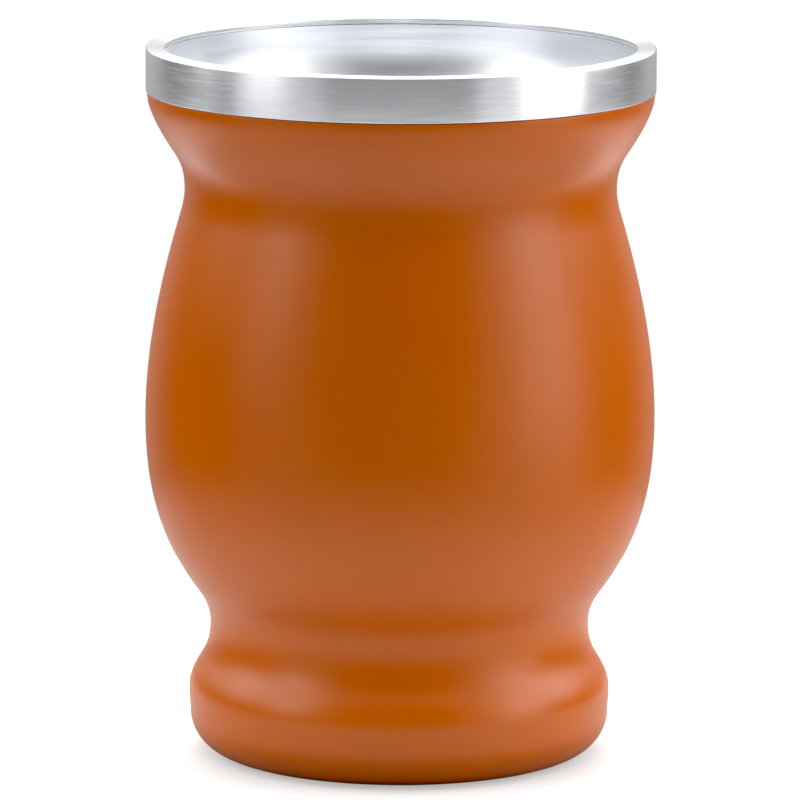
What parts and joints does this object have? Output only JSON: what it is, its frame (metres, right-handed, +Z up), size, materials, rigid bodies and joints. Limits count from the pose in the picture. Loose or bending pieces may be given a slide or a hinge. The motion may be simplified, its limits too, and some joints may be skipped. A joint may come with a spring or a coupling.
{
  "type": "mate cup",
  "caption": "Waisted double-walled steel mate cup with a satin orange powder coat, a bare brushed rim band and an open rounded bowl, for holding a hot infusion.",
  "frame": {"origin": "centre of the base, on the surface that the cup stands on", "axes": "+Z up along the cup's axis, out of the mouth. The cup is turned about Z, so +X and +Y are alike; -Y faces the picture's camera"},
  "size_m": [0.0764, 0.0764, 0.1066],
  "materials": {
    "powder_coat": "satin orange powder coat with a very fine grain",
    "rim_steel": "bare steel brushed round the rim, with a brighter lip",
    "liner_steel": "satin bare steel"
  },
  "bodies": {
    "root": {"coated_body": "powder_coat", "rim_band": "rim_steel", "inner_liner": "liner_steel"}
  },
  "joints": []
}
